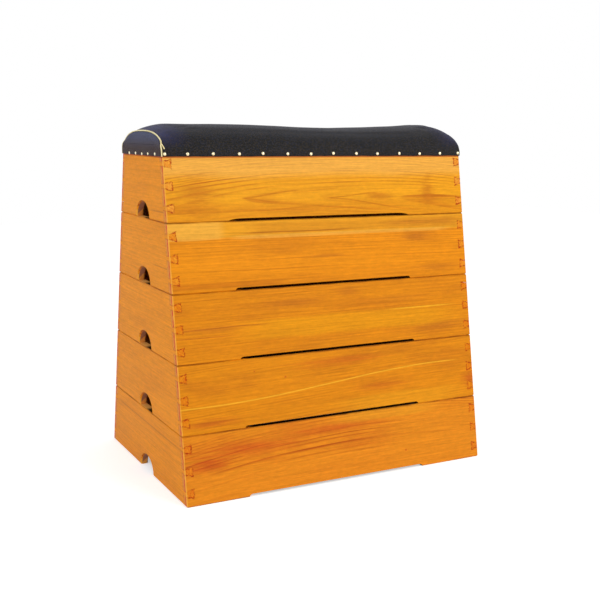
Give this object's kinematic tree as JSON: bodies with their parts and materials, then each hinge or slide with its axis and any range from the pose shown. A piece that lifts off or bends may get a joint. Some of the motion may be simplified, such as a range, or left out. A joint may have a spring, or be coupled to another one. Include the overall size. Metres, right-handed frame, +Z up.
{
  "type": "vaulting box",
  "caption": "Wooden vaulting box of stacked, inward-leaning tiers with handholes, dovetailed corners, nesting corner posts and a padded, nailed top.",
  "frame": {"origin": "centre of the footprint, on the floor", "axes": "+X along the box's length, +Y across it towards its back, +Z up"},
  "size_m": [0.786, 0.5294, 0.8115],
  "materials": {
    "varnished_wood_long": "varnished, satin",
    "varnished_wood_end": "varnished, satin",
    "bare_wood": "planed, thinly sealed",
    "plywood": "sanded plywood",
    "foam": "open-cell foam",
    "cover_cloth": "coated canvas, dark navy",
    "piping": "cream covered cord",
    "nail_brass": "domed upholstery nails",
    "screw_steel": "zinc plated"
  },
  "bodies": {
    "tier_5": {"tier_5_front_board": "varnished_wood_long", "tier_5_back_board": "varnished_wood_long", "tier_5_left_end_board": "varnished_wood_end", "tier_5_right_end_board": "varnished_wood_end", "tier_5_front_left_post": "bare_wood", "tier_5_front_right_post": "bare_wood", "tier_5_back_left_post": "bare_wood", "tier_5_back_right_post": "bare_wood"},
    "tier_4": {"tier_4_front_board": "varnished_wood_long", "tier_4_back_board": "varnished_wood_long", "tier_4_left_end_board": "varnished_wood_end", "tier_4_right_end_board": "varnished_wood_end", "tier_4_front_left_post": "bare_wood", "tier_4_front_right_post": "bare_wood", "tier_4_back_left_post": "bare_wood", "tier_4_back_right_post": "bare_wood"},
    "tier_3": {"tier_3_front_board": "varnished_wood_long", "tier_3_back_board": "varnished_wood_long", "tier_3_left_end_board": "varnished_wood_end", "tier_3_right_end_board": "varnished_wood_end", "tier_3_front_left_post": "bare_wood", "tier_3_front_right_post": "bare_wood", "tier_3_back_left_post": "bare_wood", "tier_3_back_right_post": "bare_wood"},
    "tier_2": {"tier_2_front_board": "varnished_wood_long", "tier_2_back_board": "varnished_wood_long", "tier_2_left_end_board": "varnished_wood_end", "tier_2_right_end_board": "varnished_wood_end", "tier_2_front_left_post": "bare_wood", "tier_2_front_right_post": "bare_wood", "tier_2_back_left_post": "bare_wood", "tier_2_back_right_post": "bare_wood"},
    "tier_1": {"tier_1_front_board": "varnished_wood_long", "tier_1_back_board": "varnished_wood_long", "tier_1_left_end_board": "varnished_wood_end", "tier_1_right_end_board": "varnished_wood_end", "tier_1_front_left_post": "bare_wood", "tier_1_front_right_post": "bare_wood", "tier_1_back_left_post": "bare_wood", "tier_1_back_right_post": "bare_wood", "deck_board": "plywood", "deck_bearer_1": "bare_wood", "deck_bearer_2": "bare_wood", "deck_bearer_3": "bare_wood", "foam_pad": "foam", "cover_main_panel": "cover_cloth", "cover_left_end_panel": "cover_cloth", "cover_right_end_panel": "cover_cloth", "left_piping": "piping", "right_piping": "piping"}
  },
  "joints": [
    {"name": "tier_4_lift", "type": "slide", "parent": "tier_5", "child": "tier_4", "axis": [0, 0, 1], "range_m": [0, 0.08]},
    {"name": "tier_3_lift", "type": "slide", "parent": "tier_4", "child": "tier_3", "axis": [0, 0, 1], "range_m": [0, 0.08]},
    {"name": "tier_2_lift", "type": "slide", "parent": "tier_3", "child": "tier_2", "axis": [0, 0, 1], "range_m": [0, 0.08]},
    {"name": "tier_1_lift", "type": "slide", "parent": "tier_2", "child": "tier_1", "axis": [0, 0, 1], "range_m": [0, 0.08]}
  ]
}
